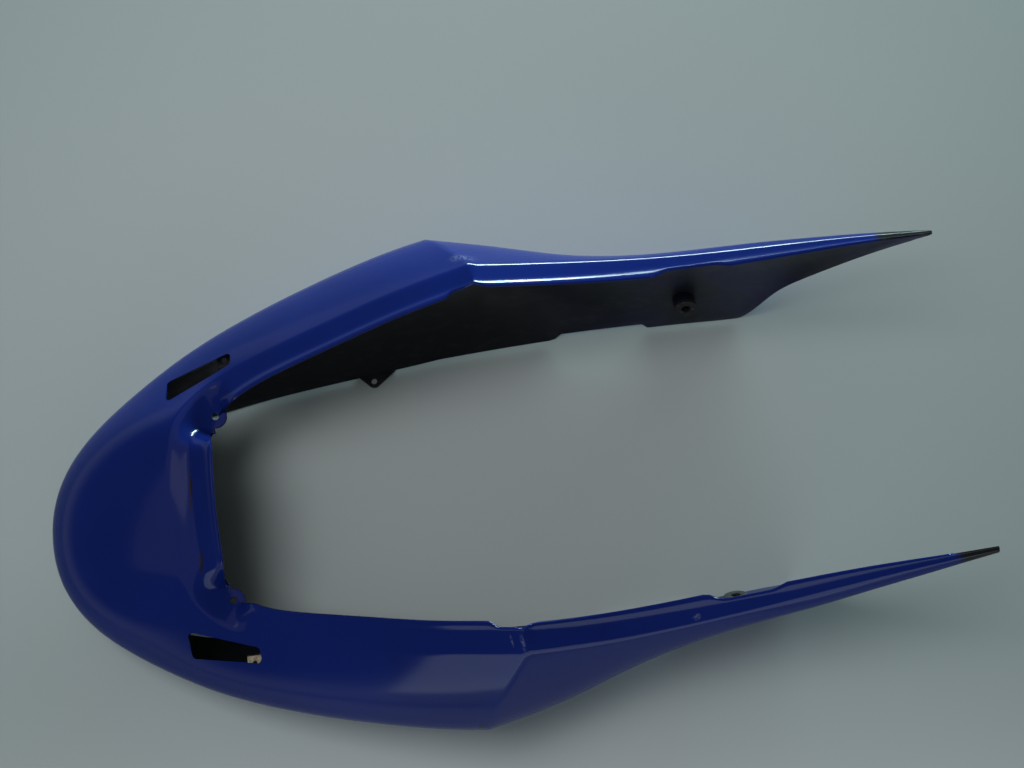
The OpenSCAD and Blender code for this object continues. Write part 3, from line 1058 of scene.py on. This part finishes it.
    def socket(self, side: Side) -> bpy.types.Object:
        """Build the round tube on the inner side of a leg that holds a grommet.

        Args:
            side: The side that it is on.

        Returns:
            The tube, closed at its wall end.
        """
        sizes = self.shape.sizes
        steps, edge = self.socket_steps, self.socket_edge
        outer_r, bore_r = sizes.socket_d / 2, sizes.grommet_d / 2 + sizes.fit_play
        root, floor = sizes.socket_l + 0.5 * sizes.wall, sizes.socket_l - sizes.socket_floor
        profile = [(0.0, floor), (bore_r, floor), (bore_r, edge), (bore_r + edge, 0.0),
                   (outer_r - edge, 0.0), (outer_r, edge), (outer_r, root), (0.0, root)]
        place = Matrix.Diagonal((1.0, float(side.value), 1.0, 1.0)) @ sizes.socket_place()
        rings = [[place @ Vector((r * math.cos(a), r * math.sin(a), h)) for r, h in profile]
                 for a in (2 * math.pi * k / steps for k in range(steps))]
        row = len(profile)
        pairs = [(k * row + j, (k + 1) % steps * row + j)
                 for k in range(steps) for j in range(row - 1)]
        faces = [(here, here + 1, after + 1, after) for here, after in pairs]
        mesh = mesh_from("socket", np.array(rings).reshape(-1, 3) * MM, faces)
        piece = new_object(f"socket_{side.name}", mesh)
        clean_up(piece)
        tags = [Skin.RAW.value] * len(piece.data.polygons)
        piece.data.polygons.foreach_set("material_index", tags)
        return piece

    def build(self, paint: bpy.types.Material, raw: bpy.types.Material) -> bpy.types.Object:
        """Build the whole moulding as one piece.

        Args:
            paint: Material of its painted faces.
            raw: Material of its bare faces.

        Returns:
            The moulding's object.
        """
        body = self.skin()
        for finish in (paint, raw):
            body.data.materials.append(finish)
        clean_up(body)
        cut(body, self.cutters())
        makers = (self.tab, self.lug, self.clip_seat, self.socket)
        extras = [make(side) for side in Side for make in makers]
        for extra in extras:
            clean_up(extra)
        join(body, extras)
        body.name = "painted_cowl"
        body.data.shade_smooth()
        body.data.set_sharp_from_angle(angle=math.radians(self.sharp_angle))
        return body


def bake(piece: bpy.types.Object) -> None:
    """Make a piece's modifiers part of its mesh.

    Args:
        piece: The piece.
    """
    bpy.context.view_layer.update()
    graph = bpy.context.evaluated_depsgraph_get()
    mesh = bpy.data.meshes.new_from_object(piece.evaluated_get(graph), depsgraph=graph)
    piece.modifiers.clear()
    piece.data = mesh


def cut(piece: bpy.types.Object, cutters: Sequence[bpy.types.Object]) -> None:
    """Cut the cutters out of a piece and remove them.

    Args:
        piece: The piece to cut.
        cutters: Closed objects.
    """
    for cutter in cutters:
        clean_up(cutter)
        modifier = piece.modifiers.new(cutter.name, "BOOLEAN")
        modifier.operation = "DIFFERENCE"
        modifier.solver = "MANIFOLD"
        modifier.object = cutter
    bake(piece)
    drop_bare_slots(piece)
    for cutter in cutters:
        bpy.data.objects.remove(cutter)


def drop_bare_slots(piece: bpy.types.Object) -> None:
    """Remove the material slots that a cutter left empty.

    Args:
        piece: The piece, whose faces on an empty slot get its first finish.
    """
    mesh = piece.data
    kept = [k for k, finish in enumerate(mesh.materials) if finish]
    for face in mesh.polygons:
        face.material_index = kept.index(face.material_index) if face.material_index in kept else 0
    for k in reversed(range(len(mesh.materials))):
        if k not in kept:
            mesh.materials.pop(index=k)


def clean_up(piece: bpy.types.Object) -> None:
    """Merge a closed mesh's doubles and turn its faces outwards.

    Args:
        piece: The mesh's object.
    """
    work = bmesh.new()
    work.from_mesh(piece.data)
    bmesh.ops.remove_doubles(work, verts=work.verts, dist=MERGE)
    bmesh.ops.dissolve_degenerate(work, edges=work.edges, dist=DEGENERATE)
    bmesh.ops.recalc_face_normals(work, faces=work.faces)
    work.to_mesh(piece.data)
    work.free()


def join(body: bpy.types.Object, extras: Sequence[bpy.types.Object]) -> None:
    """Add the meshes of other objects to one object and remove them.

    Args:
        body: The object that stays.
        extras: The objects whose meshes it takes.
    """
    work = bmesh.new()
    work.from_mesh(body.data)
    for extra in extras:
        work.from_mesh(extra.data)
    work.to_mesh(body.data)
    work.free()
    for extra in extras:
        bpy.data.objects.remove(extra)


class NodeTree(NodeMaker):
    """A Geometry Nodes tree with named inputs, run once into a plain mesh."""

    def __init__(self, name: str) -> None:
        """Start an empty tree that gives one geometry.

        Args:
            name: The tree's name.
        """
        super().__init__(bpy.data.node_groups.new(name, "GeometryNodeTree"))
        kind = "NodeSocketGeometry"
        self.tree.interface.new_socket("Geometry", in_out="OUTPUT", socket_type=kind)
        self.inputs = self.add("NodeGroupInput")
        self.output = self.add("NodeGroupOutput")
        self.values: dict[str, float] = {}

    def size(self, name: str, value: float) -> bpy.types.NodeSocket:
        """Add a named size to the tree's inputs.

        Args:
            name: What the size is called.
            value: Its value in metres.

        Returns:
            The socket that gives it.
        """
        socket = self.tree.interface.new_socket(name, in_out="INPUT", socket_type="NodeSocketFloat")
        self.values[socket.identifier] = value
        return self.inputs.outputs[name]

    def vector(self, x: object, y: object, z: object) -> bpy.types.NodeSocket:
        """A vector from three numbers or sockets."""
        return self.add("ShaderNodeCombineXYZ", X=x, Y=y, Z=z).outputs[0]

    def line(self, start: Sequence[object], end: Sequence[object]) -> bpy.types.NodeSocket:
        """A straight curve between two points of numbers or sockets."""
        kind = "GeometryNodeCurvePrimitiveLine"
        return self.add(kind, Start=self.vector(*start), End=self.vector(*end)).outputs[0]

    def both(
        self, first: bpy.types.NodeSocket, second: bpy.types.NodeSocket
    ) -> bpy.types.NodeSocket:
        """Join two geometries.

        Args:
            first: The one whose points come first.
            second: The other one.

        Returns:
            Both as one geometry.
        """
        node = self.add("GeometryNodeJoinGeometry")
        for geometry in (second, first):
            self.feed(node.inputs[0], geometry)
        return node.outputs[0]

    def swept(self, curve: bpy.types.NodeSocket, **profile: object) -> bpy.types.NodeSocket:
        """A curve's mesh, swept with a profile where one is given."""
        return self.add("GeometryNodeCurveToMesh", Curve=curve, **profile).outputs[0]

    def fillet(
        self, curve: bpy.types.NodeSocket, radius: bpy.types.NodeSocket, count: int
    ) -> bpy.types.NodeSocket:
        """Round a curve's corners.

        Args:
            curve: The curve.
            radius: Radius of its corners.
            count: Points on each corner.

        Returns:
            The rounded curve.
        """
        node = self.add("GeometryNodeFilletCurve", {"mode": "POLY"}, Curve=curve, Radius=radius,
                        Limit_Radius=True, Count=count)
        return node.outputs[0]

    def finish(self, geometry: bpy.types.NodeSocket, material: bpy.types.Material) -> None:
        """End the tree by realising its instances and setting its material.

        Args:
            geometry: What the tree has made.
            material: Its material.
        """
        real = self.add("GeometryNodeRealizeInstances", Geometry=geometry)
        dressed = self.add("GeometryNodeSetMaterial", Geometry=real.outputs[0], Material=material)
        self.feed(self.output.inputs[0], dressed.outputs[0])

    def run(self, name: str) -> bpy.types.Object:
        """Run the tree once.

        Args:
            name: Name of the result.

        Returns:
            The result as a plain mesh object.
        """
        holder = new_object(name + "_holder", bpy.data.meshes.new(name + "_holder"))
        modifier = holder.modifiers.new(name, "NODES")
        modifier.node_group = self.tree
        for identifier, value in self.values.items():
            modifier[identifier] = value
        bpy.context.view_layer.update()
        graph = bpy.context.evaluated_depsgraph_get()
        mesh = bpy.data.meshes.new_from_object(holder.evaluated_get(graph), depsgraph=graph)
        bpy.data.objects.remove(holder)
        return new_object(name, mesh)


@dataclass
class Grommet:
    """A rubber grommet: a shank with a rounded collar round a through bore."""

    side: Side
    bore_r: float = 4.0
    shank_r: float = 8.0
    shank_l: float = 7.0
    collar_r: float = 10.5
    collar_l: float = 3.0
    soft_edge: float = 0.7
    turn_steps: int = 64
    edge_steps: int = 4
    axis_r: float = 0.01
    sharp_angle: float = 50.0

    def build(self, sizes: CowlSizes, rubber: bpy.types.Material) -> bpy.types.Object:
        """Sweep the grommet's section round its axis.

        Args:
            sizes: The moulding's sizes, which give the socket's place.
            rubber: Its material.

        Returns:
            The grommet's object.
        """
        tree = NodeTree(f"grommet_{self.side.name.lower()}")
        bore = tree.size("Bore radius", self.bore_r * MM)
        shank = tree.size("Shank radius", self.shank_r * MM)
        collar = tree.size("Collar radius", self.collar_r * MM)
        end = tree.size("Shank length", self.shank_l * MM)
        back = tree.math("MULTIPLY", tree.size("Collar length", self.collar_l * MM), -1.0)
        edge = tree.size("Soft edge", self.soft_edge * MM)
        corners = [(bore, back), (collar, back), (collar, 0.0),
                   (shank, 0.0), (shank, end), (bore, end)]
        points = tree.add("GeometryNodeMeshLine", Count=len(corners))
        spots = points.outputs[0]
        for index, (radius, height) in enumerate(corners):
            which = tree.add("FunctionNodeCompare", {"data_type": "INT", "operation": "EQUAL"})
            tree.feed(which.inputs[2], tree.add("GeometryNodeInputIndex").outputs[0])
            tree.feed(which.inputs[3], index)
            moved = tree.add("GeometryNodeSetPosition", Geometry=spots, Selection=which.outputs[0],
                             Position=tree.vector(radius, height, 0.0))
            spots = moved.outputs[0]
        line = tree.add("GeometryNodeMeshToCurve", Mesh=spots)
        closed = tree.add("GeometryNodeSetSplineCyclic", Geometry=line.outputs[0], Cyclic=True)
        soft = tree.fillet(closed.outputs[0], edge, self.edge_steps)
        axis = tree.add("GeometryNodeCurvePrimitiveCircle", Resolution=self.turn_steps,
                        Radius=self.axis_r * MM)
        tree.finish(tree.swept(axis.outputs[0], Profile_Curve=soft), rubber)
        piece = tree.run(f"rubber_grommet_{self.side.name.lower()}")
        self.stand(piece.data, sizes)
        clean_up(piece)
        piece.data.shade_smooth()
        piece.data.set_sharp_from_angle(angle=math.radians(self.sharp_angle))
        return piece

    def stand(self, mesh: bpy.types.Mesh, sizes: CowlSizes) -> None:
        """Stand the swept ring in its socket, with its shank towards the wall.

        Args:
            mesh: The ring, with its axis along Z.
            sizes: The moulding's sizes, which give the socket's place.
        """
        heights = [v.co.z for v in mesh.vertices]
        flip = 1.0 if max(heights) > -min(heights) else -1.0
        place = sizes.socket_place()
        place.translation *= MM
        mirror = Matrix.Diagonal((1.0, float(self.side.value), 1.0, 1.0))
        mesh.transform(mirror @ place @ Matrix.Diagonal((1.0, 1.0, flip, 1.0)))


@dataclass
class ClipNut:
    """The spring clip: sheet folded round the seat's free end, with a drawn threaded neck."""

    sheet: float = 0.8
    play: float = 0.1
    hole_r: float = 2.0
    neck_r: float = 3.2
    neck_l: float = 3.0
    neck_sink: float = 0.2
    fold_r: float = 0.9
    fold_steps: int = 6
    drill_l: float = 16.0
    sharp_angle: float = 35.0

    def build(self, sizes: CowlSizes, steel: bpy.types.Material) -> bpy.types.Object:
        """Sweep the sheet's section along the fold and drill it.

        Args:
            sizes: The moulding's sizes, which give the seat's place.
            steel: Its material.

        Returns:
            The clip nut's object.
        """
        x, y, z = sizes.seat_at
        tree = NodeTree("clip_nut")
        width = tree.size("Width", sizes.clip_w * MM)
        length = tree.size("Length", sizes.clip_l * MM)
        sheet = tree.size("Sheet", self.sheet * MM)
        gap = tree.size("Gap", (sizes.seat_t + 2 * self.play + self.sheet) * MM)
        fold = tree.size("Fold radius", self.fold_r * MM)
        half = tree.math("MULTIPLY", gap, 0.5)
        under = tree.math("MULTIPLY", half, -1.0)
        upper = tree.line((0.0, length, half), (0.0, 0.0, half))
        lower = tree.line((0.0, 0.0, under), (0.0, length, under))
        back = tree.line((0.0, 0.0, half), (0.0, 0.0, under))
        whole = tree.both(tree.swept(tree.both(upper, lower)), tree.swept(back))
        merged = tree.add("GeometryNodeMergeByDistance", Geometry=whole, Distance=MERGE)
        path = tree.add("GeometryNodeMeshToCurve", Mesh=merged.outputs[0])
        bent = tree.fillet(path.outputs[0], fold, self.fold_steps)
        strip = tree.add("GeometryNodeCurvePrimitiveQuadrilateral", Width=width, Height=sheet)
        tree.finish(tree.swept(bent, Profile_Curve=strip.outputs[0], Fill_Caps=True), steel)
        piece = tree.run("steel_clip_nut")
        middle = z - sizes.seat_t / 2
        free = y - sizes.clip_l / 2 - self.play - self.sheet / 2
        piece.data.transform(Matrix.Translation(Vector((x, free, middle)) * MM))
        clean_up(piece)
        self.add_neck(piece, sizes)
        piece.data.transform(Matrix.Diagonal((1.0, -1.0, 1.0, 1.0)))
        clean_up(piece)
        piece.data.shade_smooth()
        piece.data.set_sharp_from_angle(angle=math.radians(self.sharp_angle))
        return piece

    def add_neck(self, piece: bpy.types.Object, sizes: CowlSizes) -> None:
        """Drill the leaves and add the drawn neck below them.

        Args:
            piece: The folded sheet.
            sizes: The moulding's sizes, which give the seat's place.
        """
        x, y, z = sizes.seat_at
        cut(piece, [tube("drill", (x, y, z - self.drill_l / 2), 0.0, self.hole_r, self.drill_l)])
        foot = z - sizes.seat_t - self.play - self.sheet - self.neck_l
        height = self.neck_l + self.neck_sink
        join(piece, [tube("neck", (x, y, foot), self.hole_r, self.neck_r, height)])


def tube(
    name: str, foot: Point, inner_r: float, outer_r: float, height: float, steps: int = 40
) -> bpy.types.Object:
    """An upright round bar, or a tube if it has an inner radius, in millimetres.

    Args:
        name: Name of the object.
        foot: Middle of its lower end.
        inner_r: Radius of its bore, or 0 for none.
        outer_r: Outer radius.
        height: Height.
        steps: Sides.

    Returns:
        The bar or tube.
    """
    profile = [(outer_r, 0.0), (outer_r, height)]
    if inner_r:
        profile += [(inner_r, height), (inner_r, 0.0)]
    row = len(profile)
    turns = [2 * math.pi * k / steps for k in range(steps)]
    points = [(foot[0] + r * math.cos(a), foot[1] + r * math.sin(a), foot[2] + h)
              for a in turns for r, h in profile]
    loops = range(row) if inner_r else range(1)
    rows = [(k * row, (k + 1) % steps * row) for k in range(steps)]
    faces = [(here + j, after + j, after + (j + 1) % row, here + (j + 1) % row)
             for here, after in rows for j in loops]
    if not inner_r:
        faces += [[k * row for k in range(steps)][::-1], [k * row + 1 for k in range(steps)]]
    return new_object(name, mesh_from(name, np.array(points) * MM, faces))


@dataclass(frozen=True)
class Lamp:
    """A soft lamp: its place, the point it faces, its size in metres, its power and its colour."""

    name: str
    at: Point
    target: Point
    size: tuple[float, float]
    power: float
    colour: Colour
    mirrored: bool = True


@dataclass
class Studio:
    """Floor, lamps, world and camera."""

    floor_size: float = 80.0
    camera_at: Point = (0.028, -0.2486, 1.439)
    camera_right: Point = (0.98955, -0.14030, -0.03336)
    camera_up: Point = (0.14421, 0.96271, 0.22889)
    camera_back: Point = (0.0, -0.23130, 0.97288)
    lens: float = 56.25
    sensor: float = 36.0
    view_range: tuple[float, float] = (0.05, 60.0)
    lamps: tuple[Lamp, ...] = (
        Lamp("ceiling", (0.9, 1.9, 0.1), (0.1, 0.0, 0.1), (2.4, 0.18), 86.0, (0.7, 1.0, 1.0)),
        Lamp("table_glow", (0.0, -2.4, 0.8), (0.0, 0.0, 0.1), (3.2, 1.2), 15.0, (0.85, 0.97, 1.0)),
        Lamp("haze", (-0.9, 0.5, 2.0), (0.0, 0.0, 0.0), (2.8, 2.8), 5.0, (0.95, 0.93, 1.0)),
        Lamp("window", (-1.63, 0.7, 2.1), (-0.26, 0.02, 0.12), (0.5, 1.0), 0.9, (1.0, 0.95, 1.0)),
        Lamp("room", (-0.8, 0.35, 2.6), (0.0, 0.0, 0.0), (1.3, 1.3), 22.0, (1.0, 1.0, 1.0), False),
    )
    above: Colour = (0.05, 0.056, 0.058)
    band_top: tuple[float, float] = (0.0, 0.2)

    def build_floor(self) -> None:
        """Lay the plain floor that the cowl rests on."""
        signs = ((-1, -1, 0), (1, -1, 0), (1, 1, 0), (-1, 1, 0))
        corners = np.array(signs, float) * self.floor_size / 2
        floor = new_object("floor", mesh_from("floor", corners, [(0, 1, 2, 3)]))
        floor.data.materials.append(PaleBoard().build())

    def add_lamp(self, plan: Lamp) -> None:
        """Add one soft rectangular lamp, which the camera doesn't see.

        Args:
            plan: The lamp's place, size and light.
        """
        lamp = bpy.data.lights.new(plan.name, "AREA")
        lamp.shape = "RECTANGLE"
        lamp.size, lamp.size_y = plan.size
        lamp.energy = plan.power
        lamp.color = plan.colour
        holder = bpy.data.objects.new(plan.name, lamp)
        holder.location = plan.at
        holder.visible_camera = False
        holder.visible_glossy = plan.mirrored
        aim = Vector(plan.target) - Vector(plan.at)
        holder.rotation_euler = aim.to_track_quat("-Z", "Y").to_euler()
        bpy.context.scene.collection.objects.link(holder)

    def surround(self) -> None:
        """Fill the world with a pale band round the horizon and a dim light above it."""
        world = bpy.data.worlds.new("surround")
        bpy.context.scene.world = world
        world.use_nodes = True
        sky = NodeMaker(world.node_tree)
        sky.tree.nodes.clear()
        looked_at = sky.add("ShaderNodeTexCoord").outputs["Generated"]
        height = sky.add("ShaderNodeSeparateXYZ", Vector=looked_at).outputs["Z"]
        colour = sky.mix(sky.ramp(height, *self.band_top), rgba(HORIZON), rgba(self.above))
        light = sky.add("ShaderNodeBackground", Color=colour)
        sky.add("ShaderNodeOutputWorld", Surface=light.outputs[0])

    def aim_camera(self) -> None:
        """Put the camera where the photograph was taken from."""
        data = bpy.data.cameras.new("camera")
        data.lens = self.lens
        data.sensor_width = self.sensor
        data.clip_start, data.clip_end = self.view_range
        camera = bpy.data.objects.new("camera", data)
        axes = Matrix((self.camera_right, self.camera_up, self.camera_back)).transposed()
        camera.matrix_world = Matrix.Translation(self.camera_at) @ axes.to_4x4()
        bpy.context.scene.collection.objects.link(camera)
        bpy.context.scene.camera = camera

    def build(self) -> None:
        """Set up everything round the cowl."""
        bpy.context.scene.view_settings.view_transform = "Standard"
        self.build_floor()
        for plan in self.lamps:
            self.add_lamp(plan)
        self.surround()
        self.aim_camera()


def hand_over(piece: bpy.types.Object, node: str) -> None:
    """Let a finished piece stand for a node of the construction.

    Args:
        piece: The finished piece.
        node: The node that it replaces.
    """
    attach(piece, BODY)
    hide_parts(node)
    LOG.info("%s: %d faces, replaces %s", piece.name, len(piece.data.polygons), node)


def main() -> None:
    """Build the cowl, its grommets, its clip nut and the studio, in that order."""
    logging.basicConfig(level=logging.INFO, format="%(name)s %(message)s")
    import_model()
    shape = CowlShape()
    hand_over(Moulding(shape).build(CowlPaint().build(), RawPlastic().build()), "cowl")
    rubber = MOULDED_RUBBER.build()
    for side in Side:
        grommet = Grommet(side).build(shape.sizes, rubber)
        hand_over(grommet, f"grommet_{side.name.lower()}")
    hand_over(ClipNut().build(shape.sizes, PASSIVATED_STEEL.build()), "clip_nut")
    Studio().build()


if __name__ == "__main__":
    main()
